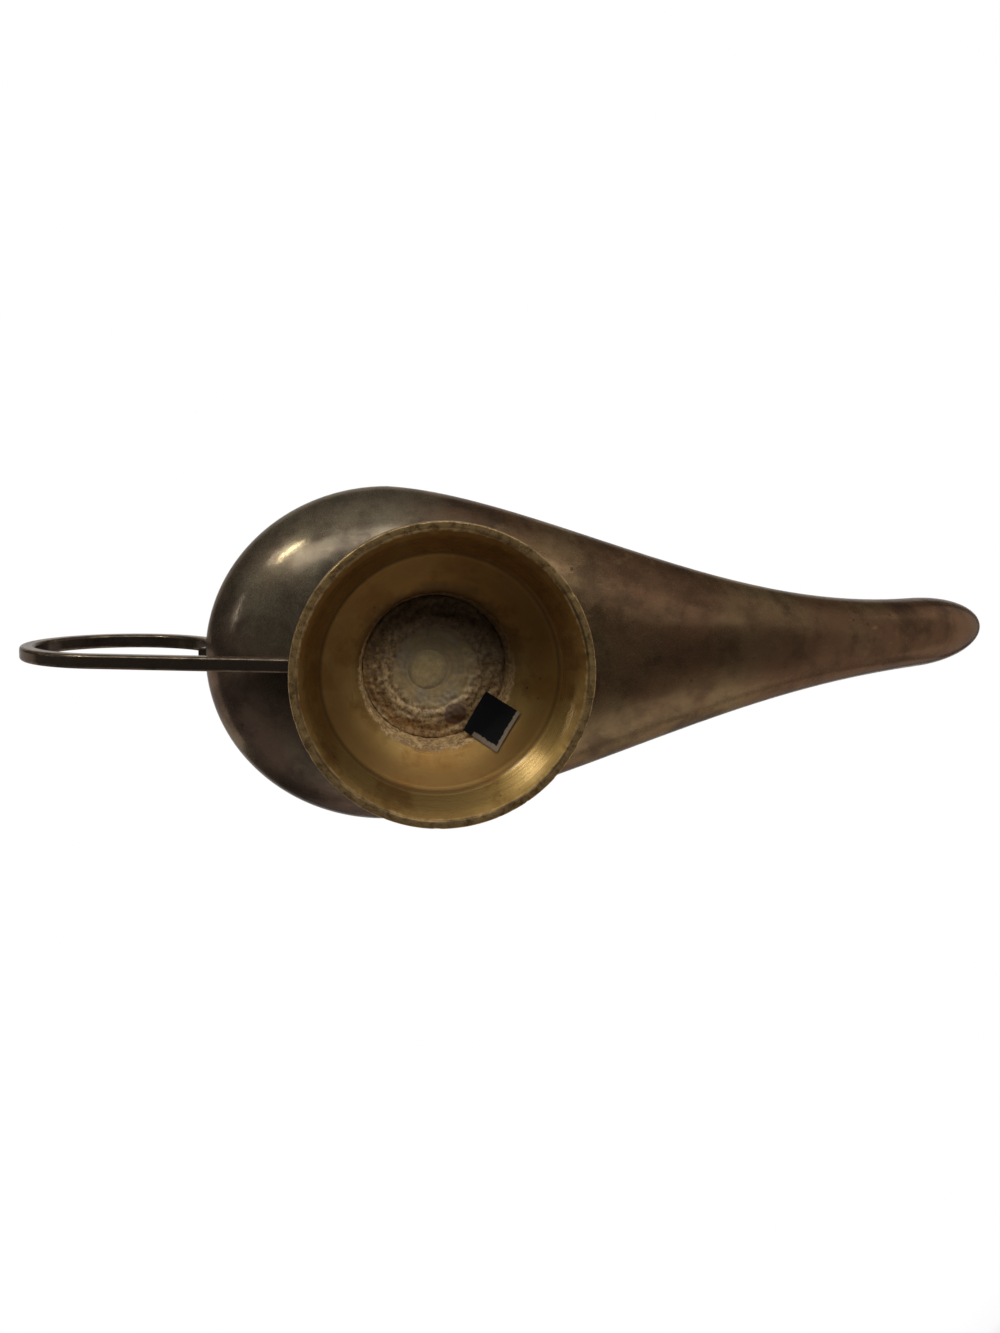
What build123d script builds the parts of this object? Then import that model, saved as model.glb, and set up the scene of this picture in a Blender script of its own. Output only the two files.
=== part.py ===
from build123d import *
import os
from math import acos, atan, atan2, cos, degrees, hypot, radians, sin, sqrt

# A brass genie oil lamp: a teardrop bowl drawn out into a rising spout, on a flared foot,
# with a ring handle at its back and a lift-off lid. Millimetres, +Z up, spout towards +X.
# The origin is the centre of the foot's rim, on the surface that the lamp stands on.

# Fits
seat_gap = 0.15  # solder or braze between two seated pieces
seam_gap = 0.1  # braze line between the two halves of the body
lid_play = 0.35  # between the lid's skirt and the collar's bore
lid_rest = 0.1  # between the lid's flange and the collar's top face
rivet_play = 0.1  # round a rivet's or a tenon's shank

# Bowl: half an ellipsoid at the back, which the spout carries on from its widest section
wall = 1.8
bowl_x = -7.0
bowl_back = 38.7
bowl_half_width = 36.0
bowl_half_height = 20.0

# Spout
spout_run = 143.3  # along X, over which the bowl narrows to the spout's radius
spout_nose_start = 0.94  # share of that run where the rounded nose begins
spout_nose = 28.6  # length of the nose, along the spout
spout_rise = 40.1
spout_radius = 8.5
spout_lift = 2.6  # power of the centre line's rise
taper_start = 1.56  # powers of the narrowing from the bowl to the spout
taper_end = 2.8
spout_sections = 9
wick_hole_length = 15.0
wick_hole_width = 8.0
wick_hole_back = 24.1  # from the nose's end back to the hole's middle

# Foot
foot_height = 20.5  # from the table to the lowest point of the bowl
foot_rim_radius = 30.0
foot_rim_face = 1.4
foot_rim_edge = 1.8
foot_edge_round = 0.35
foot_shoulder = 1.2
foot_band = 6.9  # from the rim's outside in to the step round the hollow
foot_step_height = 6.5
foot_step_lip = 0.4
foot_cone = 7.1  # from the step's lip in to the recess
foot_recess_height = 11.1
foot_recess_taper = 1.0
foot_wall = 2.2  # at the step
foot_ring_height = 0.8  # the ring round the outside, over the step
foot_ring_ledge = 0.8
foot_lower_cove = 0.5  # how far the outside is hollowed below and above that ring
foot_upper_cove = 1.0
foot_neck_wall = 2.0
foot_neck_height = 14.2
foot_bead_radius = 0.8
foot_web = 4.1

# Rivet that holds the foot, and the solder that seals it
rivet_radius = 3.0
rivet_head_radius = 5.5
rivet_head_height = 1.4
rivet_foot_radius = 4.2
rivet_foot_height = 1.3
solder_height = 1.1
solder_crown = 0.5

# Ring handle
handle_ring_radius = 20.4  # to the middle of the bar
handle_bar_width = 3.0
handle_bar_height = 3.3
handle_bar_edge = 0.7
handle_joint_rise = 3.4  # of the upper joint above the bowl's widest line
handle_joint_angle = 25.0  # from the ring's level line down to the upper joint
handle_joint_scarf = 7.0  # further along the ring, in degrees, where the bar is filed to the bowl
handle_joint_bite = 0.5
handle_tail_drop = 1.8  # of the tail's end at the foot's neck, below the bowl

# Mouth collar
collar_bore_radius = 17.4
collar_wall = 1.2  # of the spigot, inside the mouth
collar_neck_wall = 2.2
collar_flare = 1.6  # how far the base spreads out from the neck
collar_bead = 1.0  # how far the bead stands out from the neck
collar_bead_height = 2.0
collar_rise = 3.3  # above the bowl
collar_spigot_depth = 7.2  # below the top of the bowl

# Lid
lid_inset = 0.2  # of the lid's edge from the collar's bead
lid_edge = 1.2
lid_edge_round = 0.4
lid_wall = 1.5
lid_flange = 2.2  # from the lid's edge in to the dome
lid_dome_step = 1.0
lid_dome_height = 11.0
lid_boss_radius = 4.4
lid_skirt_depth = 4.6
lid_skirt_wall = 1.3

# Finial
finial_tenon_radius = 1.6
finial_peen_radius = 2.5
finial_peen_height = 0.9
finial_base_radius = 4.0
finial_base_height = 1.0
finial_base_round = 0.3
finial_neck_radius = 1.7
finial_neck_height = 1.8
finial_bulb_radius = 4.4
finial_bulb_height = 7.0
finial_tip_radius = 1.9
finial_tip_height = 5.0

# Torn sticker in the foot
label_thickness = 0.3
label_width = 9.2
label_on_cone = 5.0
label_flap = 3.4
label_flap_lift = 1.5
label_azimuth = 43.0
label_skew = -11.0

bowl_z = foot_height + bowl_half_height
section_shares = [spout_nose_start * i / (spout_sections - 1) for i in range(spout_sections)]


def taper(u):
    """How much of the bowl's extra width and height is left at share u of the spout's run."""
    return (1 - u**taper_start) ** taper_end


def half_width(u):
    return spout_radius + (bowl_half_width - spout_radius) * taper(u)


def half_height(u):
    return spout_radius + (bowl_half_height - spout_radius) * taper(u)


def centre(u):
    """The middle of the spout's section: its X and Z."""
    return bowl_x + spout_run * u, bowl_z + spout_rise * u**spout_lift


def tilt(u):
    """The angle, in radians, by which the spout's centre line rises."""
    return atan(spout_rise * spout_lift * u ** (spout_lift - 1) / spout_run)


def beside_centre(u, along, up):
    """A point given along the spout and square to it, from the middle of a section: X and Z."""
    x, z = centre(u)
    a = tilt(u)
    return x + along * cos(a) - up * sin(a), z + along * sin(a) + up * cos(a)


def section_plane(u):
    x, z = centre(u)
    a = tilt(u)
    return Plane(origin=(x, 0, z), x_dir=(0, 1, 0), z_dir=(cos(a), 0, sin(a)))


def share_at(x):
    return (x - bowl_x) / spout_run


def bowl_level(y, inset, side):
    """Height of the bowl's surface over the foot's axis, y to the side: side is 1 above, -1 below."""
    u = share_at(0)
    return centre(u)[1] + side * (half_height(u) - inset) * sqrt(1 - (y / (half_width(u) - inset)) ** 2)


def body_form(inset):
    """The whole outside of bowl and spout as one solid, drawn in by inset on every side."""
    with BuildPart() as back:
        with Locations(Plane(origin=(0, 0, 0), x_dir=(0, 0, 1), z_dir=(-1, 0, 0))):
            Sphere(1, arc_size1=0, align=None)
        scale(by=(bowl_back - inset, bowl_half_width - inset, bowl_half_height - inset))
    nose_width = half_width(spout_nose_start) - inset
    nose_height = half_height(spout_nose_start) - inset
    with BuildPart() as nose:
        Sphere(1, arc_size1=0, align=None)
        scale(by=(nose_height, nose_width, spout_nose - inset))
    nose_base = section_plane(spout_nose_start)
    nose_plane = Plane(origin=nose_base.origin, x_dir=nose_base.y_dir, z_dir=nose_base.z_dir)
    with BuildPart() as form:
        for u in section_shares:
            width = half_width(u) - inset
            height = half_height(u) - inset
            with BuildSketch(section_plane(u)):
                with BuildLine():
                    EllipticalCenterArc((0, 0), width, height, 90, arc_size=180)
                    EllipticalCenterArc((0, 0), width, height, 270, arc_size=180)
                make_face()
        loft()
        add(back.part.moved(Location((bowl_x, 0, bowl_z))))
        add(nose.part.moved(nose_plane.location))
    return form.part


outside = body_form(0)
inside = body_form(wall)
seat_form = body_form(-seat_gap)


def beside_seam(side):
    """The space above (side 1) or below (side -1) the widest line of bowl and spout."""
    reach = bowl_back + bowl_half_width
    shift = side * seam_gap / 2
    seam = [centre(u) for u in section_shares]
    nose_tilt = tilt(spout_nose_start)
    back_end = (bowl_x - reach, bowl_z + shift)
    past_tip_x, past_tip_z = beside_centre(spout_nose_start, reach, 0)
    far = bowl_z + side * 2 * reach
    with BuildPart() as space:
        with BuildSketch(Plane.XZ):
            with BuildLine():
                Line(back_end, (bowl_x, bowl_z + shift))
                Spline(
                    *[(x, z + shift) for x, z in seam],
                    tangents=((1, 0), (cos(nose_tilt), sin(nose_tilt))),
                )
                Polyline(
                    (seam[-1][0], seam[-1][1] + shift),
                    (past_tip_x, past_tip_z + shift),
                    (past_tip_x, far),
                    (bowl_x - reach, far),
                    back_end,
                )
            make_face()
        extrude(amount=2 * bowl_half_width, both=True)
    return space.part


collar_spigot_radius = collar_bore_radius + collar_wall
bowl_top = bowl_level(0, 0, 1)

# Lower half of the body: the bowl's floor and the underside of the spout, holed for the rivet
with BuildPart() as body_lower:
    add(outside)
    add(inside, mode=Mode.SUBTRACT)
    add(beside_seam(-1), mode=Mode.INTERSECT)
    with BuildSketch():
        Circle(rivet_radius + rivet_play)
    extrude(amount=bowl_z, mode=Mode.SUBTRACT)

# Upper half: the shoulder of the bowl with the round mouth, and the spout's top with the wick hole
wick_hole_tilt = tilt(spout_nose_start)
wick_hole_middle = beside_centre(spout_nose_start, spout_nose - wick_hole_back, 0)
wick_hole_plane = Plane(
    origin=(wick_hole_middle[0], 0, wick_hole_middle[1]),
    x_dir=(cos(wick_hole_tilt), 0, sin(wick_hole_tilt)),
    z_dir=(-sin(wick_hole_tilt), 0, cos(wick_hole_tilt)),
)
with BuildPart() as body_upper:
    add(outside)
    add(inside, mode=Mode.SUBTRACT)
    add(beside_seam(1), mode=Mode.INTERSECT)
    with BuildSketch(Plane.XY.offset(bowl_z)):
        Circle(collar_spigot_radius + seat_gap)
    extrude(amount=2 * bowl_half_height, mode=Mode.SUBTRACT)
    with BuildSketch(wick_hole_plane):
        SlotOverall(wick_hole_length, wick_hole_width)
    extrude(amount=2 * spout_radius, mode=Mode.SUBTRACT)

# Foot: a turned casting with a stepped hollow, a flat rim to stand on and a web under the bowl
foot_rim_inner = foot_rim_radius - foot_rim_face
foot_step_radius = foot_rim_radius - foot_band
foot_recess_radius = foot_step_radius - foot_step_lip - foot_cone
foot_recess_end = foot_recess_radius - foot_recess_taper
foot_web_height = foot_height - foot_web
foot_neck_radius = foot_recess_radius + foot_neck_wall
foot_top = bowl_level(foot_neck_radius, 0, -1) + wall
foot_shoulder_end = (foot_rim_radius - foot_shoulder, foot_rim_edge + foot_shoulder)
foot_ring_radius = foot_step_radius + foot_wall * sin(radians(45))
foot_ring_z = foot_step_height + foot_wall * cos(radians(45))
foot_ring_start = (foot_ring_radius, foot_ring_z)
foot_ring_end = (foot_ring_radius - foot_ring_ledge, foot_ring_z + foot_ring_height)
foot_neck_start = (foot_neck_radius, foot_neck_height)


def cove_middle(low, high, depth):
    """The middle of a cove in the foot's half section, from its low end to its high end."""
    out = low[0] - high[0]
    up = high[1] - low[1]
    length = hypot(out, up)
    return (low[0] + high[0]) / 2 - depth * up / length, (low[1] + high[1]) / 2 - depth * out / length


with BuildPart() as foot:
    with BuildSketch(Plane.XZ) as foot_half:
        with BuildLine():
            Polyline(
                (0, foot_web_height),
                (foot_recess_end, foot_web_height),
                (foot_recess_radius, foot_recess_height),
                (foot_step_radius - foot_step_lip, foot_step_height),
                (foot_step_radius, foot_step_height),
                (foot_rim_inner, 0),
                (foot_rim_radius, 0),
                (foot_rim_radius, foot_rim_edge),
                foot_shoulder_end,
            )
            ThreePointArc(
                foot_shoulder_end,
                cove_middle(foot_shoulder_end, foot_ring_start, foot_lower_cove),
                foot_ring_start,
            )
            Polyline(foot_ring_start, (foot_ring_radius, foot_ring_end[1]), foot_ring_end)
            ThreePointArc(
                foot_ring_end,
                cove_middle(foot_ring_end, foot_neck_start, foot_upper_cove),
                foot_neck_start,
            )
            Polyline(foot_neck_start, (foot_neck_radius, foot_top), (0, foot_top), (0, foot_web_height))
        make_face()
        fillet(foot_half.vertices().group_by(Axis.Y)[0], foot_edge_round)
        with Locations((foot_neck_radius, foot_neck_height + foot_bead_radius)):
            Circle(foot_bead_radius)
    revolve(axis=Axis.Z)
    add(seat_form, mode=Mode.SUBTRACT)
    with BuildSketch():
        Circle(rivet_radius + rivet_play)
    extrude(amount=bowl_z, mode=Mode.SUBTRACT)

# Rivet: set through the bowl's floor and the foot's web, and peened over below
floor_ahead = share_at(rivet_head_radius)
floor_z = max(
    bowl_level(rivet_head_radius, wall, -1), centre(floor_ahead)[1] + wall - half_height(floor_ahead)
)
rivet_head_z = floor_z + seat_gap
rivet_foot_z = foot_web_height - seat_gap
with BuildPart() as foot_rivet:
    with BuildSketch(Plane.XZ):
        with BuildLine():
            Polyline(
                (0, rivet_foot_z - rivet_foot_height),
                (rivet_radius, rivet_foot_z - rivet_foot_height),
                (rivet_foot_radius, rivet_foot_z - rivet_foot_height / 2),
                (rivet_foot_radius, rivet_foot_z),
                (rivet_radius, rivet_foot_z),
                (rivet_radius, rivet_head_z),
                (rivet_head_radius, rivet_head_z),
                (rivet_head_radius, rivet_head_z + rivet_head_height / 2),
                (rivet_radius, rivet_head_z + rivet_head_height),
                (0, rivet_head_z + rivet_head_height),
                close=True,
            )
        make_face()
    revolve(axis=Axis.Z)

# Solder: a low crowned ring between the rivet's peened end and the recess
solder_inner = rivet_foot_radius + seat_gap
solder_outer = foot_recess_end - seat_gap
solder_bottom = foot_web_height - seat_gap - solder_height
with BuildPart() as foot_solder:
    with BuildSketch(Plane.XZ):
        with BuildLine():
            Polyline(
                (solder_inner, solder_bottom),
                (solder_inner, foot_web_height - seat_gap),
                (solder_outer, foot_web_height - seat_gap),
                (solder_outer, solder_bottom),
            )
            ThreePointArc(
                (solder_outer, solder_bottom),
                ((solder_inner + solder_outer) / 2, solder_bottom - solder_crown),
                (solder_inner, solder_bottom),
            )
        make_face()
    revolve(axis=Axis.Z)

# Handle: one bar from a scarf joint on the bowl's back, round the ring and along under the bowl
joint_z = bowl_z + handle_joint_rise
joint_x = bowl_x - bowl_back * sqrt(1 - (handle_joint_rise / bowl_half_height) ** 2)
ring_x = joint_x + handle_joint_bite - handle_ring_radius * cos(radians(handle_joint_angle))
ring_z = joint_z + handle_ring_radius * sin(radians(handle_joint_angle))
tail_end = (-foot_neck_radius, foot_height - handle_tail_drop)
tail_reach = hypot(tail_end[0] - ring_x, tail_end[1] - ring_z)
tail_angle = degrees(atan2(tail_end[1] - ring_z, tail_end[0] - ring_x))
tail_leaves = 360 + tail_angle - degrees(acos(handle_ring_radius / tail_reach))
ring_starts = -handle_joint_angle - handle_joint_scarf
with BuildPart() as handle:
    with BuildLine(Plane.XZ) as bar:
        ring = CenterArc((ring_x, ring_z), handle_ring_radius, ring_starts, tail_leaves - ring_starts)
        Line(ring @ 1, tail_end)
    with BuildSketch(Plane(origin=bar.line @ 0, x_dir=(0, 1, 0), z_dir=bar.line % 0)):
        RectangleRounded(handle_bar_width, handle_bar_height, handle_bar_edge)
    sweep(path=bar.line)
    add(seat_form, mode=Mode.SUBTRACT)
    with BuildSketch():
        Circle(foot_neck_radius + seat_gap)
    extrude(amount=bowl_z, mode=Mode.SUBTRACT)

# Mouth collar: its base is filed to the bowl, its spigot passes through the mouth
collar_neck_radius = collar_bore_radius + collar_neck_wall
collar_base_radius = collar_neck_radius + collar_flare
collar_bead_radius = collar_neck_radius + collar_bead
collar_top = bowl_top + collar_rise
collar_bead_z = collar_top - collar_bead_height
collar_base_z = bowl_top - seat_gap
with BuildPart() as mouth_collar:
    with BuildSketch(Plane.XZ):
        with BuildLine():
            Polyline(
                (collar_bore_radius, collar_top),
                (collar_bore_radius, collar_top - collar_spigot_depth),
                (collar_base_radius, collar_top - collar_spigot_depth),
                (collar_base_radius, collar_base_z),
                (collar_neck_radius, collar_bead_z),
            )
            ThreePointArc(
                (collar_neck_radius, collar_bead_z),
                (collar_bead_radius, (collar_bead_z + collar_top) / 2),
                (collar_neck_radius, collar_top),
            )
            Line((collar_neck_radius, collar_top), (collar_bore_radius, collar_top))
        make_face()
    revolve(axis=Axis.Z)
    add(seat_form, mode=Mode.SUBTRACT)
    with BuildSketch(Plane.XY.offset(bowl_top - collar_spigot_depth)):
        Circle(collar_spigot_radius)
        Circle(collar_bore_radius, mode=Mode.SUBTRACT)
    extrude(amount=collar_spigot_depth)

# Lid: an ogee dome on a flange, with a skirt that drops into the collar
lid_z = collar_top + lid_rest
skirt_outer = collar_bore_radius - lid_play
skirt_inner = skirt_outer - lid_skirt_wall
lid_radius = collar_bead_radius - lid_inset
lid_dome_radius = lid_radius - lid_flange
dome_z = lid_z + lid_edge + lid_dome_step
crown_z = dome_z + lid_dome_height
dome_curve = (
    (lid_dome_radius, dome_z),
    (lid_dome_radius, dome_z + 0.7 * lid_dome_height),
    (lid_boss_radius + 0.1 * lid_dome_radius, dome_z + 0.4 * lid_dome_height),
    (lid_boss_radius, crown_z),
)
hollow_curve = [(r - lid_wall, z - lid_wall) for r, z in dome_curve]
tenon_hole = finial_tenon_radius + rivet_play
with BuildPart() as lid:
    with BuildSketch(Plane.XZ) as lid_half:
        with BuildLine():
            Polyline(
                hollow_curve[0],
                (skirt_inner, lid_z),
                (skirt_inner, lid_z - lid_skirt_depth),
                (skirt_outer, lid_z - lid_skirt_depth),
                (skirt_outer, lid_z),
                (lid_radius, lid_z),
                (lid_radius, lid_z + lid_edge),
                dome_curve[0],
            )
            Bezier(*dome_curve)
            Polyline(
                dome_curve[-1],
                (tenon_hole, crown_z),
                (tenon_hole, crown_z - lid_wall),
                hollow_curve[-1],
            )
            Bezier(*hollow_curve)
        make_face()
        fillet(lid_half.vertices().group_by(Axis.X)[-1], lid_edge_round)
    revolve(axis=Axis.Z)

# Finial: a turned bulb and tip, with a tenon peened over under the lid's crown
finial_z = crown_z + seat_gap
peen_z = crown_z - lid_wall - seat_gap
neck_z = finial_z + finial_base_height + finial_neck_height
bulb_top = neck_z + finial_bulb_height
with BuildPart() as lid_finial:
    with BuildSketch(Plane.XZ) as finial_half:
        with BuildLine():
            Polyline(
                (0, peen_z - finial_peen_height),
                (finial_tenon_radius, peen_z - finial_peen_height),
                (finial_peen_radius, peen_z - finial_peen_height / 2),
                (finial_peen_radius, peen_z),
                (finial_tenon_radius, peen_z),
                (finial_tenon_radius, finial_z),
                (finial_base_radius, finial_z),
                (finial_base_radius, finial_z + finial_base_height),
                (finial_neck_radius, neck_z),
            )
            ThreePointArc(
                (finial_neck_radius, neck_z),
                (finial_bulb_radius, neck_z + finial_bulb_height / 2),
                (finial_neck_radius, bulb_top),
            )
            Bezier(
                (finial_neck_radius, bulb_top),
                (2 * finial_tip_radius, bulb_top + finial_tip_height / 3),
                (finial_tip_radius / 2, bulb_top + finial_tip_height / 2),
                (0, bulb_top + finial_tip_height),
            )
            Line((0, bulb_top + finial_tip_height), (0, peen_z - finial_peen_height))
        make_face()
        fillet(finial_half.vertices().group_by(Axis.X)[-1], finial_base_round)
    revolve(axis=Axis.Z)

# Sticker: a torn square of black paper on the foot's inner cone, its torn side standing over the recess
cone_run = foot_step_radius - foot_step_lip - foot_recess_radius
cone_rise = foot_recess_height - foot_step_height
cone_angle = atan2(cone_rise, cone_run)


def off_cone(along, off):
    """A point in the foot's half section: along the cone from the recess's edge, and off its face."""
    r = foot_recess_radius + along * cos(cone_angle) - off * sin(cone_angle)
    return r, foot_recess_height - along * sin(cone_angle) - off * cos(cone_angle)


label_back = seat_gap / 2
label_front = label_back + label_thickness
label_middle = foot_recess_radius + (label_on_cone - label_flap) / 2
with BuildPart() as label:
    with BuildSketch(Plane.XZ):
        with BuildLine():
            Polyline(
                off_cone(2 * label_on_cone, label_back),
                off_cone(0, label_back),
                off_cone(-2 * label_flap, label_back + label_flap_lift),
                off_cone(-2 * label_flap, label_front + label_flap_lift),
                off_cone(0, label_front),
                off_cone(2 * label_on_cone, label_front),
                close=True,
            )
        make_face()
    revolve(axis=Axis.Z)
    with BuildSketch(
        Plane(
            origin=(
                label_middle * cos(radians(label_azimuth)),
                label_middle * sin(radians(label_azimuth)),
                0,
            ),
            x_dir=(
                cos(radians(label_azimuth + label_skew)),
                sin(radians(label_azimuth + label_skew)),
                0,
            ),
        )
    ):
        Rectangle((label_on_cone + label_flap) * cos(cone_angle), label_width)
    extrude(amount=foot_height, mode=Mode.INTERSECT)

pieces = {
    "body_lower": body_lower,
    "body_upper": body_upper,
    "foot": foot,
    "foot_rivet": foot_rivet,
    "foot_solder": foot_solder,
    "handle": handle,
    "mouth_collar": mouth_collar,
    "lid": lid,
    "lid_finial": lid_finial,
    "label": label,
}
os.makedirs("parts", exist_ok=True)
for name, piece in pieces.items():
    piece.part.label = name
    export_step(piece.part, f"parts/{name}.step")
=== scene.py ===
import math
import random

import bmesh
import bpy
from mathutils import Matrix, Vector, noise


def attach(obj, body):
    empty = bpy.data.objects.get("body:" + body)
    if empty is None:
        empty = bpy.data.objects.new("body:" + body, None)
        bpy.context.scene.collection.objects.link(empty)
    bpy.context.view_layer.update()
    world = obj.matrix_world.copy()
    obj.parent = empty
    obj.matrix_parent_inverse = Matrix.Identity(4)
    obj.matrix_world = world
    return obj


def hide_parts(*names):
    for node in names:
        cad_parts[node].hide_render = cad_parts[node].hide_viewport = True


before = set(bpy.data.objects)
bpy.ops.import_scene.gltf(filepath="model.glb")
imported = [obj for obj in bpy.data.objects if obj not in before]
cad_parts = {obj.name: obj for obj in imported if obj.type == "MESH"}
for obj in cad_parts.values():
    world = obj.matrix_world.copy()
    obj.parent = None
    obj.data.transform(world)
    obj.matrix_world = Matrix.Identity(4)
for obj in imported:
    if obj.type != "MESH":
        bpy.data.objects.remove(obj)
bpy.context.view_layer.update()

# Body: two thin brass castings, the bowl with the underside of the spout and the top with the
# mouth, brazed together along the widest line. Handling and age have turned the polished brass
# brown, in clouds, with olive patches, fine scratches and a few pits. A darker strip along the middle
# of the spout's underside is painted shade, for the dark reflection there. The bowl is tinted cooler
# and the spout warmer, partly in the patina's tone and partly as painted colour of reflected light.


def place(tree, kind, inputs=None, **choices):
    """A node in a shader tree. Inputs are numbers, vectors or the sockets of other nodes."""
    made = tree.nodes.new(kind)
    for name, value in choices.items():
        setattr(made, name, value)
    for name, value in (inputs or {}).items():
        if isinstance(value, bpy.types.NodeSocket):
            tree.links.new(value, made.inputs[name])
        else:
            made.inputs[name].default_value = value
    return made


def feed(tree, node, sockets):
    """Links each socket to the node's input of that name."""
    for name, socket in sockets.items():
        tree.links.new(socket, node.inputs[name])


def opaque(colour):
    """A colour of three numbers with its alpha. A socket stays as it is."""
    return colour if isinstance(colour, bpy.types.NodeSocket) else (*colour, 1)


def blend_colour(tree, share, first, second, mode="MIX"):
    inputs = {0: share, 6: opaque(first), 7: opaque(second)}
    return place(tree, "ShaderNodeMix", inputs, data_type="RGBA", blend_type=mode).outputs[2]


def blend_value(tree, share, first, second):
    return place(tree, "ShaderNodeMix", {0: share, 2: first, 3: second}).outputs[0]


def number(tree, operation, first, second=0.0):
    return place(tree, "ShaderNodeMath", {0: first, 1: second}, operation=operation).outputs[0]


def product(tree, first, *others):
    for other in others:
        first = number(tree, "MULTIPLY", first, other)
    return first


def summed(tree, start, *terms):
    """The start plus each term, a pair of a value and its factor."""
    for value, factor in terms:
        start = number(tree, "ADD", product(tree, value, factor), start)
    return start


def between(tree, value, low, high):
    """0 where the value is at low or before it, 1 at high or past it, smooth in between."""
    inputs = {"Value": value, "From Min": low, "From Max": high}
    return place(tree, "ShaderNodeMapRange", inputs, interpolation_type="SMOOTHSTEP").outputs["Result"]


def speckle(tree, where, scale, detail=3.0, rough=0.55):
    """Cloudy noise from 0 to 1, with about so many clouds to a metre."""
    inputs = {"Vector": where, "Scale": scale, "Detail": detail, "Roughness": rough}
    return place(tree, "ShaderNodeTexNoise", inputs).outputs["Fac"]


def patchy(tree, where, scale, edge, detail=3.0, rough=0.55):
    """A mask of patches, the parts of the noise past the edge, a pair of where it starts and ends."""
    return between(tree, speckle(tree, where, scale, detail, rough), *edge)


def fraying(tree, where, width, scale, detail=4.0, rough=0.7):
    """Noise about zero, of about this width, which makes the edge of a mask ragged."""
    return product(tree, number(tree, "SUBTRACT", speckle(tree, where, scale, detail, rough), 0.5), width)


def on_object(tree):
    return place(tree, "ShaderNodeTexCoord").outputs["Object"]


def axis_part(tree, where, axis):
    return place(tree, "ShaderNodeSeparateXYZ", {0: where}).outputs[axis]


def vector_value(tree, operation, first, second=(0, 0, 0)):
    made = place(tree, "ShaderNodeVectorMath", {0: first, 1: second}, operation=operation)
    return made.outputs["Value"]


def bumped(tree, height, strength, depth):
    inputs = {"Strength": strength, "Distance": depth, "Height": height}
    return place(tree, "ShaderNodeBump", inputs).outputs["Normal"]


def shader_group(name, inputs, outputs):
    """An empty node group with its sockets, and its two end nodes."""
    tree = bpy.data.node_groups.new(name, "ShaderNodeTree")
    for label, kind, value in inputs:
        socket = tree.interface.new_socket(label, in_out="INPUT", socket_type=kind)
        socket.default_value = value
    for label, kind in outputs:
        tree.interface.new_socket(label, in_out="OUTPUT", socket_type=kind)
    return tree, tree.nodes.new("NodeGroupInput"), tree.nodes.new("NodeGroupOutput")


def new_material(name):
    """A material with a Principled shader: the material, its tree and the shader."""
    made = bpy.data.materials.new(name)
    made.use_nodes = True
    return made, made.node_tree, made.node_tree.nodes["Principled BSDF"]


surface_outputs = [
    ("Colour", "NodeSocketColor"),
    ("Roughness", "NodeSocketFloat"),
    ("Height", "NodeSocketFloat"),
]
patina, given, put_out = shader_group(
    "patina",
    [
        ("Brown", "NodeSocketColor", (0.1, 0.07, 0.04, 1)),
        ("Olive", "NodeSocketColor", (0.1, 0.08, 0.04, 1)),
        ("Dark", "NodeSocketColor", (0.02, 0.015, 0.01, 1)),
        ("Dullness", "NodeSocketFloat", 0.3),
    ],
    surface_outputs,
)
polished_share = 0.87
polished_roughness = 0.13
where = on_object(patina)
drift = place(patina, "ShaderNodeMapping", {"Vector": where, "Location": (0.31, 0.17, 0.05)}).outputs[0]
clouds = patchy(patina, drift, scale=26, detail=5, rough=0.6, edge=(0.4, 0.6))
mottle = patchy(patina, drift, scale=62, detail=6, rough=0.62, edge=(0.47, 0.66))
blotch = patchy(patina, drift, scale=170, detail=5, rough=0.65, edge=(0.5, 0.68))
polished = patchy(patina, where, scale=9000, detail=2, rough=0.6, edge=(0.43, 0.53))
grain = speckle(patina, where, scale=850)
pit_places = place(patina, "ShaderNodeTexVoronoi", {"Vector": where, "Scale": 260, "Randomness": 1.0})
pit_core = between(patina, pit_places.outputs["Distance"], 0.16, 0.05)
pit = product(patina, pit_core, patchy(patina, where, scale=60, detail=2, edge=(0.55, 0.62)))
lengthwise = place(patina, "ShaderNodeMapping", {"Vector": where, "Scale": (0.05, 1, 1)}).outputs[0]
scratches = patchy(patina, lengthwise, scale=1400, detail=4, rough=0.7, edge=(0.56, 0.75))
smudges = product(
    patina,
    patchy(patina, where, scale=230, detail=4, rough=0.6, edge=(0.6, 0.7)),
    patchy(patina, where, scale=38, edge=(0.5, 0.62)),
)
tone = blend_colour(patina, clouds, given.outputs["Brown"], given.outputs["Olive"])
for mask, share in ((mottle, 0.7), (blotch, 0.35), (pit, 0.8)):
    tone = blend_colour(patina, product(patina, mask, share), tone, given.outputs["Dark"])
for mask, share in ((scratches, 0.25), (smudges, 0.4)):
    tone = blend_colour(patina, product(patina, mask, share), tone, given.outputs["Olive"], "ADD")
grain_about_zero = number(patina, "SUBTRACT", grain, 0.5)
dull = summed(patina, given.outputs["Dullness"], (mottle, 0.08), (grain_about_zero, 0.16), (pit, 0.25))
dull = blend_value(patina, product(patina, polished, polished_share), dull, polished_roughness)
relief = summed(patina, product(patina, grain, 0.25), (mottle, 0.5), (pit, -1.0), (scratches, -0.15))
feed(patina, put_out, {"Colour": tone, "Roughness": dull, "Height": relief})


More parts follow.
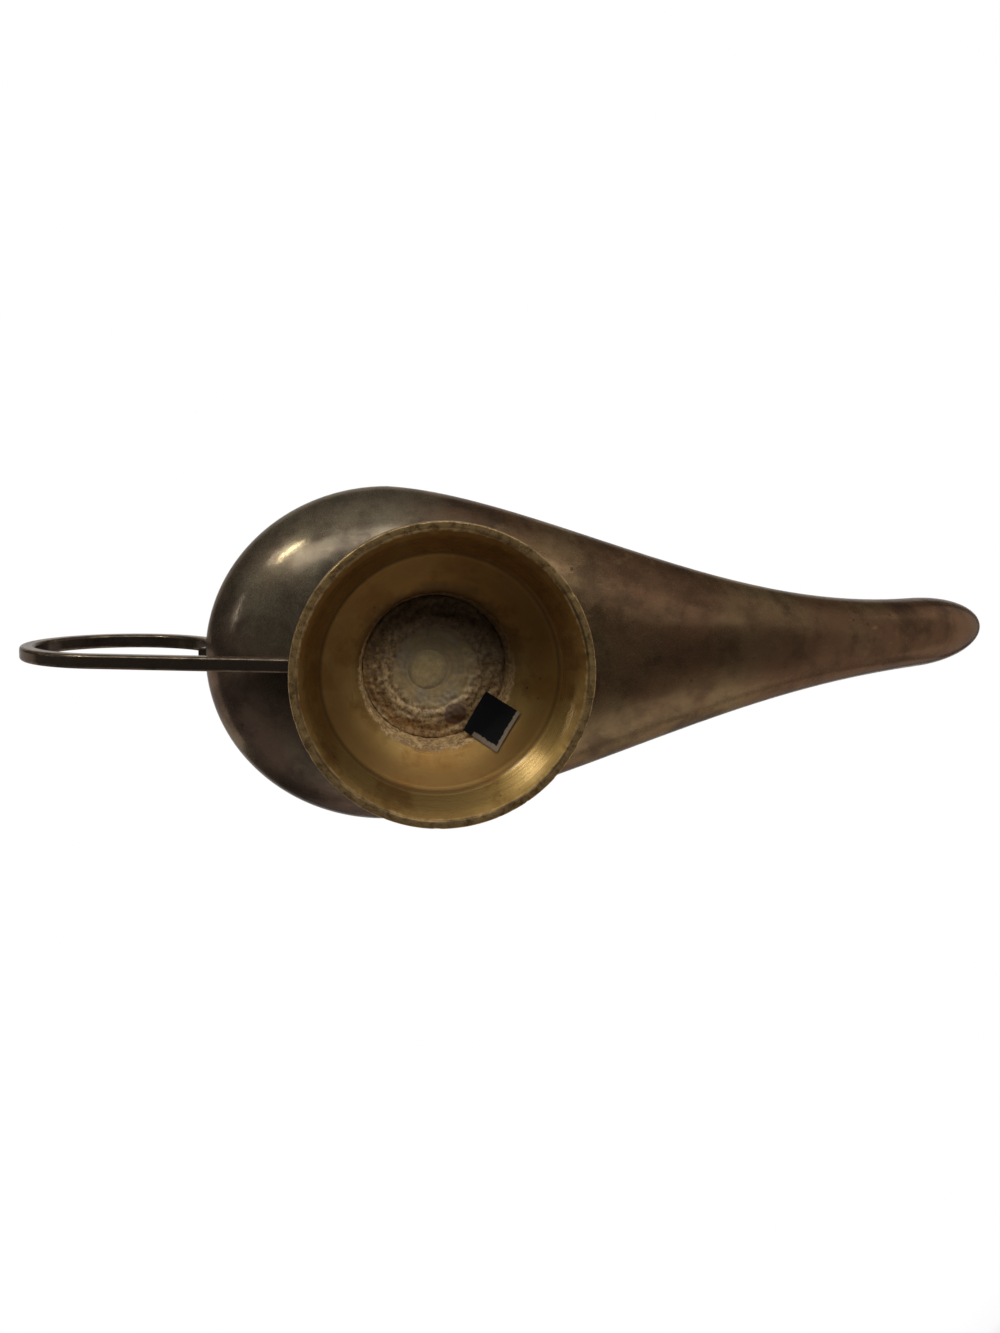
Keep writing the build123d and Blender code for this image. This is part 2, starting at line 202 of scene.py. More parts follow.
def aged_brass(name, brown, olive, dark, dullness, relief_depth):
    """Brass under a patina: the material, its tree, its shader and the patina's node."""
    made, tree, shader = new_material(name)
    coat = place(tree, "ShaderNodeGroup", node_tree=patina)
    for label, colour in (("Brown", brown), ("Olive", olive), ("Dark", dark)):
        coat.inputs[label].default_value = opaque(colour)
    coat.inputs["Dullness"].default_value = dullness
    normal = bumped(tree, coat.outputs["Height"], strength=0.25, depth=relief_depth)
    feed(
        tree,
        shader,
        {"Base Color": coat.outputs["Colour"], "Roughness": coat.outputs["Roughness"], "Normal": normal},
    )
    shader.inputs["Metallic"].default_value = 0.68
    shader.inputs["Specular IOR Level"].default_value = 0.25
    shader.inputs["Specular Tint"].default_value = (0.4, 0.36, 0.32, 1)
    return made, tree, shader, coat


body_brass, tree, shader, coat = aged_brass(
    "body_brass",
    brown=(0.118, 0.068, 0.039),
    olive=(0.158, 0.112, 0.06),
    dark=(0.04, 0.024, 0.0145),
    dullness=0.44,
    relief_depth=0.00003,
)
# Painted shade: a darker strip along the middle of the spout's underside, for the dark reflection there.
spout_shade_brown = (0.05, 0.028, 0.016)
spout_shade_shift = (-2.9, 0, -1.6)
spout_shade_scale = (38, 150, 40)
bowl_tone_and_reflection_tint = (0.96, 1.03, 1.24)
spout_tone_and_reflection_tint = (1.13, 0.99, 0.87)
where = on_object(tree)
uneven = fraying(tree, where, width=2.2, scale=70, rough=0.6)
spout_shade_frame = {"Vector": where, "Location": spout_shade_shift, "Scale": spout_shade_scale}
from_spout_shade = vector_value(tree, "LENGTH", place(tree, "ShaderNodeMapping", spout_shade_frame).outputs[0])
spout_shaded = between(tree, number(tree, "ADD", from_spout_shade, uneven), 1.25, 0.45)
tone = blend_colour(tree, product(tree, spout_shaded, 0.5), coat.outputs["Colour"], spout_shade_brown)
# The bowl gets a cooler tint and the spout a warmer one, partly the patina's tone and partly painted colour
# of the light each reflects.
forward = summed(tree, axis_part(tree, where, "X"), (uneven, 0.02))
tone_and_reflection_tint = blend_colour(tree, between(tree, forward, -0.02, 0.03), bowl_tone_and_reflection_tint, spout_tone_and_reflection_tint)
feed(tree, shader, {"Base Color": blend_colour(tree, 1.0, tone, tone_and_reflection_tint, "MULTIPLY")})
for node in ("body_lower", "body_upper"):
    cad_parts[node].material_slots[0].material = body_brass

# Foot: a flared brass casting turned on a lathe, with a stepped hollow, a flat rim to stand on and
# a web under the bowl. Brown like the body outside, still golden inside, worn pale and nicked along
# the rim. The recess at the top of the hollow was never turned and keeps its rough casting skin.


def half_section(form, points):
    """A closed chain of edges through points (radius, height), in millimetres."""
    chain = [form.verts.new((radius / 1000, 0, height / 1000)) for radius, height in points]
    for first, second in zip(chain, chain[1:] + chain[:1]):
        form.edges.new((first, second))


def turn(form, steps):
    """Spins what the form holds round the upright axis, all the way."""
    bmesh.ops.spin(
        form,
        geom=form.verts[:] + form.edges[:],
        axis=(0, 0, 1),
        cent=(0, 0, 0),
        angle=math.tau,
        steps=steps,
        use_merge=True,
    )
    bmesh.ops.recalc_face_normals(form, faces=form.faces)


def finished(form, name, material, crease=40):
    """The mesh as an object, smooth except along edges sharper than the crease, in degrees."""
    for edge in form.edges:
        edge.smooth = edge.calc_face_angle(0) < math.radians(crease)
    for face in form.faces:
        face.smooth = True
    data = bpy.data.meshes.new(name)
    form.to_mesh(data)
    form.free()
    data.materials.append(material)
    made = bpy.data.objects.new(name, data)
    bpy.context.scene.collection.objects.link(made)
    return made


def run(start, end, count, depth=0.0):
    """Points from start to end, without these two, hollowed to the left by the depth."""
    step = (end[0] - start[0], end[1] - start[1])
    length = math.hypot(*step)
    points = []
    for i in range(1, count):
        t = i / count
        sink = 4 * t * (1 - t) * depth / length
        points.append((start[0] + step[0] * t - step[1] * sink, start[1] + step[1] * t + step[0] * sink))
    return points


def grit(at, *layers):
    """Unevenness at a place, in metres, from layers of (lumps to a metre, height)."""
    return sum(noise.noise(at * count) * height for count, height in layers)


# The outside of the bowl and the spout, in metres, as the body has it: the web's top follows it.
bowl_widest = -0.007
bowl_level = 0.0405
bowl_back = 0.0387
bowl_half_width = 0.036
bowl_half_height = 0.02
spout_run = 0.1433
spout_rise = 0.0401
spout_radius = 0.0085


def bowl_underside(x, y):
    """Height of the outside of the bowl's floor."""
    along = x - bowl_widest
    if along < 0:
        drop = math.sqrt(1 - (along / bowl_back) ** 2 - (y / bowl_half_width) ** 2)
        return bowl_level - bowl_half_height * drop
    share = along / spout_run
    left = (1 - share**1.56) ** 2.8
    middle = bowl_level + spout_rise * share**2.6
    half_height = spout_radius + (bowl_half_height - spout_radius) * left
    half_width = spout_radius + (bowl_half_width - spout_radius) * left
    return middle - half_height * math.sqrt(1 - (y / half_width) ** 2)


# The foot's half section in millimetres: from the rivet's hole down the hollow to the rim, then up
# the outside to the ring, the neck with its bead, and the top.
foot_steps = 420
rivet_hole = 3.1
web_height = 16.4
foot_top = 20.0
recess_top = (14.6, web_height)
recess_foot = (15.5, 11.63)
cone_top = (15.9, 10.92)
cone_foot = (22.7, 6.512)
band_top = (23.1, 6.5)
rim_inner = 28.6
rim_middle = 29.3
rim_outer = 30.0
shoulder = (28.8, 3.0)
ring_low = (24.66, 8.06)
ring_high = (23.86, 8.86)
neck_radius = 17.6
neck_low = (neck_radius, 14.2)
bead_radius = 0.8
bead_height = neck_low[1] + bead_radius
foot_points = [(rivet_hole, web_height), (9.0, web_height), recess_top]
foot_points += run(recess_top, recess_foot, 9)
foot_points += [(15.45, 11.75), (15.5, 11.45), (15.62, 11.2), cone_top]
foot_points += run(cone_top, cone_foot, 8)
foot_points += [(22.4, 6.71), (22.75, 6.5), (23.05, 6.29), (23.35, 6.04)]
foot_points += run(band_top, (rim_inner, 0.0), 8)
foot_points += [(rim_inner, 0.0), (rim_middle, 0.0), (rim_outer, 0.0)]
foot_points += [(rim_outer, 0.9), (rim_outer, 1.8), shoulder]
foot_points += run(shoulder, ring_low, 8, depth=0.5)
foot_points += [ring_low, (ring_low[0], ring_high[1]), ring_high]
foot_points += run(ring_high, neck_low, 9, depth=1.0) + [neck_low]
for i in range(1, 9):
    bead_turn = math.pi * i / 8
    foot_points.append(
        (neck_radius + bead_radius * math.sin(bead_turn), bead_height - bead_radius * math.cos(bead_turn))
    )
foot_points += [(neck_radius, 17.5), (neck_radius, foot_top)]
foot_points += [(12.0, foot_top), (7.0, foot_top), (rivet_hole, foot_top)]
foot_form = bmesh.new()
half_section(foot_form, foot_points)
turn(foot_form, foot_steps)


def round_the_rim(edge):
    """Whether the edge runs round one of the rim's two corners."""
    first, second = edge.verts
    level = abs(first.co.z) < 1e-6 and abs(second.co.z) < 1e-6
    circling = abs(first.co.xy.length - second.co.xy.length) < 1e-6
    return level and circling and abs(first.co.xy.length - rim_middle / 1000) > 0.0005


rim_rounding = 0.00035
bmesh.ops.bevel(
    foot_form,
    geom=[edge for edge in foot_form.edges if round_the_rim(edge)],
    offset=rim_rounding,
    affect="EDGES",
    segments=3,
    profile=0.5,
    material=-1,
)

# Nicks round the rim, each with its angle, half width, depth and whether it is in the outer corner.
nick_count = 60
nick_reach = 0.0012
nick_rise = 0.8
nick_inset = 0.7
outer_share = 0.6
rim_wave = 0.00001
chance = random.Random(11)
nicks = []
for i in range(nick_count):
    at = chance.uniform(0, math.tau)
    width = chance.uniform(0.0003, 0.001)
    depth = chance.uniform(0.00004, 0.0002)
    nicks.append((at, width, depth, chance.random() < outer_share))


def wear_rim(v, radius):
    """Cuts the nicks that reach this vertex, and leaves it a little uneven."""
    turned = math.atan2(v.co.y, v.co.x) % math.tau
    for at, width, depth, outer in nicks:
        away = abs((turned - at + math.pi) % math.tau - math.pi) * rim_outer / 1000
        if away < width and outer == (radius > rim_middle / 1000):
            cut = depth * (1 - (away / width) ** 2) * max(0, 1 - v.co.z / nick_reach)
            v.co.z += cut * nick_rise
            v.co.xy *= 1 + (-cut if outer else cut) * nick_inset / radius
    v.co.z += rim_wave * (1 + noise.noise(v.co * 260)) * max(0, 1 - v.co.z / nick_reach)


# Heights and radii in metres at which the web's top, the recess and the rim are told apart.
web_top_from = foot_top / 1000 - 0.0001
recess_from = 0.0112
recess_within = 0.0157
rim_from = 0.0278
seat_gap = 0.00015
skin_stand = 0.0001
skin_limit = 0.0005
for v in foot_form.verts:
    radius = v.co.xy.length
    if v.co.z > web_top_from:
        v.co.z = bowl_underside(v.co.x, v.co.y) - seat_gap
    elif v.co.z > recess_from and radius < recess_within:
        rough = grit(v.co, (900, 0.00022), (2300, 0.00012))
        v.co.xy *= 1 - min(max(rough + skin_stand, 0), skin_limit) / radius
    elif v.co.z < nick_reach and radius > rim_from:
        wear_rim(v, radius)


def near(tree, value, middle, outer, inner):
    """1 within the inner distance of the middle, 0 past the outer one."""
    away = number(tree, "ABSOLUTE", number(tree, "SUBTRACT", value, middle))
    return between(tree, away, outer, inner)


def level_part(tree, where):
    """The place without its height."""
    inputs = {0: where, 1: (1, 1, 0)}
    return place(tree, "ShaderNodeVectorMath", inputs, operation="MULTIPLY").outputs[0]


def off_axis(tree, where):
    """Distance from the upright axis."""
    return vector_value(tree, "LENGTH", level_part(tree, where))


def toward(tree, where, direction):
    """How far a place lies in a direction from the origin."""
    return vector_value(tree, "DOT_PRODUCT", where, direction)


turning, given, put_out = shader_group(
    "turning_marks", [("Fineness", "NodeSocketFloat", 11.0)], [("Lines", "NodeSocketFloat")]
)
where = on_object(turning)
across_marks = summed(
    turning,
    product(turning, off_axis(turning, where), 800),
    (axis_part(turning, where, "Z"), -700),
)
lines = place(
    turning,
    "ShaderNodeTexNoise",
    {"W": across_marks, "Scale": given.outputs["Fineness"], "Detail": 5.0, "Roughness": 0.75},
    noise_dimensions="1D",
)
feed(turning, put_out, {"Lines": lines.outputs["Fac"]})


def turning_lines(tree, fineness):
    return place(tree, "ShaderNodeGroup", {"Fineness": fineness}, node_tree=turning).outputs["Lines"]


cast_skin, _, put_out = shader_group("cast_skin", [], surface_outputs)
sand_dark = (0.19, 0.108, 0.048)
sand_light = (0.66, 0.41, 0.18)
sand_bright = (0.86, 0.6, 0.3)
lump_brown = (0.27, 0.155, 0.076)
skin_shade_brown = (0.09, 0.055, 0.03)
where = on_object(cast_skin)
sand = speckle(cast_skin, where, scale=1100, detail=6, rough=0.75)
lumps = speckle(cast_skin, where, scale=420, detail=4, rough=0.6)
tone = blend_colour(cast_skin, between(cast_skin, sand, 0.35, 0.62), sand_dark, sand_light)
tone = blend_colour(cast_skin, between(cast_skin, sand, 0.6, 0.74), tone, sand_bright)
tone = blend_colour(cast_skin, between(cast_skin, lumps, 0.52, 0.7), tone, lump_brown)
# Painted shade: the skin darkens towards -Y, the side of the recess that lies in shadow.
skin_shaded_side = summed(cast_skin, toward(cast_skin, where, (0.3, -0.95, 0)), (lumps, 0.004))
skin_painted_shade = product(cast_skin, between(cast_skin, skin_shaded_side, -0.003, 0.0105), 0.7)
tone = blend_colour(cast_skin, skin_painted_shade, tone, skin_shade_brown)
coarse = number(cast_skin, "ADD", product(cast_skin, sand, 0.25), 0.5)
relief = summed(cast_skin, lumps, (sand, 0.6))
feed(cast_skin, put_out, {"Colour": tone, "Roughness": coarse, "Height": relief})

foot_brass, tree, shader, coat = aged_brass(
    "foot_brass",
    brown=(0.112, 0.064, 0.034),
    olive=(0.128, 0.09, 0.045),
    dark=(0.042, 0.024, 0.014),
    dullness=0.4,
    relief_depth=0.00004,
)
where = on_object(tree)
out = off_axis(tree, where)
up = axis_part(tree, where, "Z")
marks = turning_lines(tree, fineness=11.0)
grooves = turning_lines(tree, fineness=2.6)
skin = place(tree, "ShaderNodeGroup", node_tree=cast_skin)
frayed = fraying(tree, where, width=0.0016, scale=700)


def sloped(tree, value, low, high, at_low, at_high):
    """A straight slope from at_low, where the value is low, to at_high, and level past both."""
    inputs = {"Value": value, "From Min": low, "From Max": high, "To Min": at_low, "To Max": at_high}
    return place(tree, "ShaderNodeMapRange", inputs).outputs["Result"]


# Masks of the zones: the hollow, the unturned recess, the worn rim, the rubbed strip beside it, and
# the cone and the band that the step parts. Edges are in metres, from outside the zone to inside.
recess_edge = (0.0109, 0.0114)
worn_edge = (0.0008, 0.0003)
rubbed_edge = (0.0026, 0.0006)
rim_corner_edge = (0.0287, 0.0284)
cone_edge = (0.0246, 0.0236)
band_edge = (0.0234, 0.0242)
wall_middle = number(
    tree,
    "SUBTRACT",
    sloped(tree, up, low=0.0, high=0.0073, at_low=0.0297, at_high=0.0239),
    sloped(tree, up, low=0.0073, high=0.012, at_low=0.0, at_high=0.0073),
)
hollow = between(tree, number(tree, "SUBTRACT", wall_middle, out), -0.0003, 0.0003)
up_leaning = number(tree, "ADD", toward(tree, where, (0, 0.03, 1)), frayed)
unturned = product(tree, hollow, between(tree, up_leaning, *recess_edge))
up_frayed = number(tree, "ADD", up, frayed)
worn = between(tree, up_frayed, *worn_edge)
rubbed = product(tree, between(tree, up_frayed, *rubbed_edge), between(tree, out, *rim_corner_edge))
cone = between(tree, out, *cone_edge)
band = between(tree, out, *band_edge)

# The hollow's gold: stained in patches and darker amber towards -Y as painted shade, darker in the
# turning marks, with painted shade on the cone heavier towards +Y, red patches, a painted shadow line
# along the step, black spots, and painted shade round the recess on the -Y side.
gold_clean = (0.255, 0.146, 0.044)
gold_stained_and_shaded = (0.19, 0.085, 0.019)
gold_in_marks = (0.165, 0.085, 0.022)
gold_on_ridges = (0.34, 0.215, 0.082)
gold_painted_shade = (0.12, 0.06, 0.017)
gold_reddened = (0.125, 0.052, 0.012)
step_painted_shadow = (0.06, 0.03, 0.009)
spot_black = (0.04, 0.024, 0.012)
recess_shade_brown = (0.075, 0.042, 0.016)
step_radius = 0.0237
cone_shade_edge = (0.0165, 0.0215)
recess_shade_edge = (0.0184, 0.0158)
# Patchy stain, and painted shade: the gold turns darker amber towards -Y, the side of the hollow in shadow.
aside = product(tree, axis_part(tree, where, "Y"), 6.5)
stain_and_shade = number(tree, "SUBTRACT", speckle(tree, where, scale=75, detail=5, rough=0.62), aside)
gold = blend_colour(tree, between(tree, stain_and_shade, 0.36, 0.6), gold_clean, gold_stained_and_shaded)
gold = blend_colour(tree, between(tree, marks, 0.45, 0.75), gold, gold_in_marks)
gold = blend_colour(tree, product(tree, between(tree, marks, 0.48, 0.3), 0.5), gold, gold_on_ridges)
# Painted shade on the inner cone, heavier towards +Y, which tones down the lit side.
cone_shade_by_side = number(tree, "ADD", product(tree, between(tree, aside, -0.03, 0.09), 0.4), 0.5)
cone_painted_shade = product(tree, between(tree, out, *cone_shade_edge), cone, cone_shade_by_side)
gold = blend_colour(tree, cone_painted_shade, gold, gold_painted_shade)
patches = patchy(tree, where, scale=115, detail=6, rough=0.68, edge=(0.5, 0.64))
gold = blend_colour(tree, product(tree, patches, 0.6), gold, gold_reddened)
# A painted shadow: a dark line all round, just outside the step.
step_shadow_line = near(tree, out, step_radius, outer=0.0005, inner=0.0001)
gold = blend_colour(tree, product(tree, step_shadow_line, 0.55), gold, step_painted_shadow)
spot_places = place(tree, "ShaderNodeTexVoronoi", {"Vector": where, "Scale": 330}).outputs["Distance"]
spot_zone = patchy(tree, where, scale=120, detail=2, edge=(0.52, 0.6))
gold = blend_colour(tree, product(tree, between(tree, spot_places, 0.1, 0.04), spot_zone), gold, spot_black)
# Painted shade round the recess, on the -Y side of the hollow, which lies in shadow.
out_ragged = number(tree, "ADD", out, fraying(tree, where, width=0.008, scale=260, detail=5, rough=0.65))
recess_shaded_side = between(tree, toward(tree, where, (0.12, -1.0, 0)), -0.006, 0.011)
recess_painted_shade = product(tree, between(tree, out_ragged, *recess_shade_edge), recess_shaded_side, 0.6)
gold = blend_colour(tree, recess_painted_shade, gold, recess_shade_brown)

# The rim, worn pale, with dark flecks, and a broken dark line of painted shade along its inner corner.
rim_pale = (0.36, 0.218, 0.09)
rim_brown = (0.13, 0.073, 0.028)
rim_fleck_and_shade = (0.035, 0.021, 0.011)
rim_corner_shade_radius = 0.0285
rim_clouds = patchy(tree, where, scale=500, detail=5, rough=0.75, edge=(0.42, 0.68))
pale = blend_colour(tree, rim_clouds, rim_pale, rim_brown)
# Painted shade: a broken dark line along the rim's inner corner.
rim_corner_shade = product(
    tree,
    near(tree, out, rim_corner_shade_radius, outer=0.0003, inner=0.0001),
    patchy(tree, where, scale=45, detail=2, edge=(0.42, 0.62)),
    0.8,
)
flecks = patchy(tree, where, scale=1600, detail=5, rough=0.75, edge=(0.6, 0.67))
pale = blend_colour(tree, number(tree, "MAXIMUM", flecks, rim_corner_shade), pale, rim_fleck_and_shade)
tone = blend_colour(tree, hollow, coat.outputs["Colour"], gold)
tone = blend_colour(tree, worn, tone, pale)
# The recess takes the cast skin, with its painted shade towards -Y.
tone = blend_colour(tree, unturned, tone, skin.outputs["Colour"])

# Shine: bright ridges between dull marks, duller on the cone and towards the rim, with a thin film
# of oil in places on the band.
smooth = number(tree, "ADD", product(tree, between(tree, marks, 0.38, 0.62), 0.37), 0.12)
smooth = summed(tree, smooth, (cone, 0.2), (rubbed, 0.3))
dull = blend_value(tree, hollow, coat.outputs["Roughness"], smooth)
dull = blend_value(tree, unturned, dull, skin.outputs["Roughness"])
unrubbed = number(tree, "SUBTRACT", 1.0, rubbed)
film = product(tree, hollow, band, unrubbed, between(tree, grooves, 0.62, 0.42), 0.32)
bare = number(tree, "ADD", product(tree, unturned, -0.6), 0.74)
bare = summed(tree, bare, (worn, -0.25))
relief = blend_value(tree, hollow, coat.outputs["Height"], product(tree, marks, 0.09))
relief = blend_value(tree, unturned, relief, skin.outputs["Height"])
feed(
    tree,
    shader,
    {
        "Base Color": tone,
        "Roughness": dull,
        "Metallic": bare,
        "Coat Weight": film,
        "Normal": bumped(tree, relief, strength=0.4, depth=0.00008),
    },
)
shader.inputs["Coat Roughness"].default_value = 0.2
shader.inputs["Anisotropic"].default_value = 0.4
foot = finished(foot_form, "turned_foot", foot_brass)
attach(foot, "lamp")
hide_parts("foot")

# Rivet: a brass pin through the bowl's floor and the foot's web, its end hammered flat below. The
# hammered end is dull and olive, with small dents, and sits a little off the foot's middle.
rivet_steps = 96
off_middle = Vector((-0.0014, 0.0004))
hammered_below = 0.0163
dent_reach = 0.004
rivet_form = bmesh.new()
rivet_foot = [(0.0, 15.0), (1.2, 15.0), (2.4, 15.06), (3.3, 15.14), (3.9, 15.22), (4.2, 15.36)]
rivet_shank = [(4.2, 16.25), (3.0, 16.25), (3.0, 23.2)]
rivet_head = [(5.5, 23.25), (5.4, 23.75), (4.6, 24.2), (3.2, 24.5), (1.6, 24.6), (0.0, 24.62)]
half_section(rivet_form, rivet_foot + rivet_shank + rivet_head)
axis_edges = [edge for edge in rivet_form.edges if all(v.co.x < 1e-9 for v in edge.verts)]
bmesh.ops.delete(rivet_form, geom=axis_edges, context="EDGES")
turn(rivet_form, rivet_steps)
for v in rivet_form.verts:
    if v.co.z < hammered_below:
        v.co.z += grit(v.co, (700, 0.00012)) * max(0, 1 - (v.co.xy.length / dent_reach) ** 2)
        v.co.xy += off_middle
rivet_brass, tree, shader, coat = aged_brass(
    "rivet_brass",
    brown=(0.86, 0.61, 0.29),
    olive=(0.86, 0.64, 0.33),
    dark=(0.3, 0.19, 0.095),
    dullness=0.42,
    relief_depth=0.00006,
)
rivet_edge_tone = (0.43, 0.31, 0.165)
skin = place(tree, "ShaderNodeGroup", node_tree=cast_skin)
where = on_object(tree)
away = vector_value(tree, "DISTANCE", level_part(tree, where), (*off_middle, 0))
away = number(tree, "ADD", away, fraying(tree, where, width=0.005, scale=480))
# The cast skin's colour brings its painted shade towards -Y.
tone = blend_colour(tree, 0.42, coat.outputs["Colour"], skin.outputs["Colour"])
tone = blend_colour(tree, between(tree, away, 0.0022, 0.0041), tone, rivet_edge_tone)
feed(tree, shader, {"Base Color": tone})
shader.inputs["Metallic"].default_value = 0.2
rivet = finished(rivet_form, "hammered_rivet", rivet_brass)
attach(rivet, "lamp")
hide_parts("foot_rivet")

# Solder: run in round the rivet to seal the oil bowl, left as it set: smooth and greyish near the
# rivet, a gritty ridge round that, and a ragged low edge against the recess. Painted shade darkens
# the side towards -Y.
solder_steps = 300
solder_inner = 4.0
solder_outer = 14.4
solder_back = 16.25
point_spacing = 0.2
solder_bed = [(solder_inner, 15.24), (6.0, 15.22), (7.6, 15.18), (8.3, 15.27), (8.9, 15.02), (9.6, 14.84)]
solder_bed += [(10.6, 14.88), (11.4, 15.2), (12.6, 15.6), (solder_outer, 15.9)]
solder_points = [(solder_inner, solder_back), solder_bed[0]]
for start, end in zip(solder_bed, solder_bed[1:]):
    solder_points += run(start, end, max(1, round((end[0] - start[0]) / point_spacing))) + [end]
solder_points.append((solder_outer, solder_back))
solder_form = bmesh.new()
half_section(solder_form, solder_points)
turn(solder_form, solder_steps)
bed_below = 0.0162
bed_limit = 0.0161
bed_from = 0.0041
smooth_width = 0.0044
solder_width = (solder_outer - solder_inner) / 1000
for v in solder_form.verts:
    radius = v.co.xy.length
    turned = math.atan2(v.co.y, v.co.x)
    if v.co.z < bed_below and radius > bed_from:
        gritty = min(max((radius - bed_from) / smooth_width, 0), 1)
        rings = noise.noise((math.cos(turned) * 3, math.sin(turned) * 3, radius * 900)) * 0.00022
        lumps = grit(v.co, (420, 0.00024), (1200, 0.00016))
        v.co.z = min(v.co.z + (rings + lumps) * gritty, bed_limit)
    v.co.xy += off_middle * max(0, 1 - ((radius - solder_inner / 1000) / solder_width) ** 2)
solder_metal, tree, shader = new_material("solder_metal")
solder_warm = (0.82, 0.56, 0.26)
solder_grey = (0.7, 0.54, 0.34)
ring_brown = (0.3, 0.22, 0.13)
solder_shade_brown = (0.13, 0.085, 0.045)
spill_brown = (0.2, 0.11, 0.06)
spill_middle = (0.0042, 0.0095, 0)
where = on_object(tree)
skin = place(tree, "ShaderNodeGroup", node_tree=cast_skin)
frayed = fraying(tree, where, width=0.003, scale=500)
even = between(tree, number(tree, "ADD", off_axis(tree, where), frayed), 0.0088, 0.0078)
greying = patchy(tree, where, scale=260, detail=4, edge=(0.45, 0.6))
grey = blend_colour(tree, greying, solder_warm, solder_grey)
# The cast skin's colour brings its painted shade towards -Y.
grey = blend_colour(tree, 0.45, grey, skin.outputs["Colour"])
rings = between(tree, turning_lines(tree, fineness=1.6), 0.5, 0.62)
grey = blend_colour(tree, product(tree, rings, 0.35), grey, ring_brown)
# Painted shade: the solder darkens towards -Y, the side of the recess in shadow.
solder_shaded_side = number(tree, "ADD", toward(tree, where, (0.1, -1.0, 0)), frayed)
solder_painted_shade = product(tree, between(tree, solder_shaded_side, -0.007, 0.0085), 0.62)
grey = blend_colour(tree, solder_painted_shade, grey, solder_shade_brown)
tone = blend_colour(tree, even, skin.outputs["Colour"], grey)
from_spill = vector_value(tree, "DISTANCE", level_part(tree, where), spill_middle)
spilt = between(tree, summed(tree, from_spill, (frayed, 0.5)), 0.0026, 0.002)
feed(
    tree,
    shader,
    {
        "Base Color": blend_colour(tree, spilt, tone, spill_brown),
        "Roughness": blend_value(tree, even, skin.outputs["Roughness"], 0.5),
        "Normal": bumped(tree, skin.outputs["Height"], strength=0.4, depth=0.00015),
    },
)
shader.inputs["Metallic"].default_value = 0.2
solder = finished(solder_form, "solder_run", solder_metal)
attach(solder, "lamp")
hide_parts("foot_solder")

# Sticker: a torn square of paper, printed plain black and stuck on the foot's inner cone. The paper
# shows pale along two edges, and one side stands out over the recess.
label_width = 0.0076
label_length = 0.0093
label_thickness = 0.00012
label_lift = 0.0003
label_turn = math.radians(32)
label_middle = Vector((0.0109, 0.0105))
fold_radius = 0.0156
fold_height = 0.0111
cone_slope = 0.648
flap_slope = 0.373
flap_curl = 6
label_form = bmesh.new()
bmesh.ops.create_grid(label_form, x_segments=30, y_segments=36, size=0.5)
label_uv = label_form.loops.layers.uv.new("sheet")
for face in label_form.faces:
    for loop in face.loops:
        loop[label_uv].uv = (loop.vert.co.x + 0.5, loop.vert.co.y + 0.5)
along = Vector((math.cos(label_turn), math.sin(label_turn)))
across = Vector((-along.y, along.x))
for v in label_form.verts:
    u, w = v.co.x, v.co.y
    torn = noise.noise((u * 9, w * 9, 0.3)) * 0.02 + noise.noise((u * 31, w * 31, 0.7)) * 0.008
    edge_share = max(abs(u), abs(w)) * 2
    shrink = 1 - max(0, edge_share - 0.9) * 10 * (0.012 + abs(torn))
    spot = label_middle + along * (u * shrink * label_width) + across * (w * shrink * label_length)
    past_fold = spot.length - fold_radius
    level = fold_height - past_fold * (cone_slope if past_fold > 0 else flap_slope)
    v.co = (spot.x, spot.y, level - label_lift + min(past_fold, 0) ** 2 * flap_curl)
bmesh.ops.solidify(label_form, geom=label_form.faces[:], thickness=label_thickness)
bmesh.ops.recalc_face_normals(label_form, faces=label_form.faces)
label_paper, tree, shader = new_material("label_paper")
ink_dark = (0.003, 0.0027, 0.0026)
ink_light = (0.009, 0.008, 0.0078)
paper_dark = (0.12, 0.08, 0.055)
paper_light = (0.28, 0.2, 0.14)
ink_roughness = 0.6
paper_roughness = 0.85
where = on_object(tree)
sheet = place(tree, "ShaderNodeUVMap", uv_map="sheet").outputs["UV"]
frayed = fraying(tree, where, width=0.09, scale=1300, detail=3, rough=0.55)
sheet_x = number(tree, "ADD", axis_part(tree, sheet, "X"), frayed)
sheet_y = number(tree, "ADD", axis_part(tree, sheet, "Y"), frayed)
bare_side = between(tree, sheet_x, 0.895, 0.915)
bare_end = product(tree, between(tree, sheet_y, 0.875, 0.895), between(tree, sheet_x, 0.24, 0.28))
bare = number(tree, "MAXIMUM", bare_side, bare_end)
fibre = speckle(tree, where, scale=2600, detail=4, rough=0.7)
ink = blend_colour(tree, fibre, ink_dark, ink_light)
paper = blend_colour(tree, fibre, paper_dark, paper_light)
feed(
    tree,
    shader,
    {
        "Base Color": blend_colour(tree, bare, ink, paper),
        "Roughness": blend_value(tree, bare, ink_roughness, paper_roughness),
        "Normal": bumped(tree, fibre, strength=0.3, depth=0.00004),
    },
)
shader.inputs["Specular IOR Level"].default_value = 0.04
label = finished(label_form, "torn_label", label_paper, crease=60)
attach(label, "lamp")
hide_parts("label")

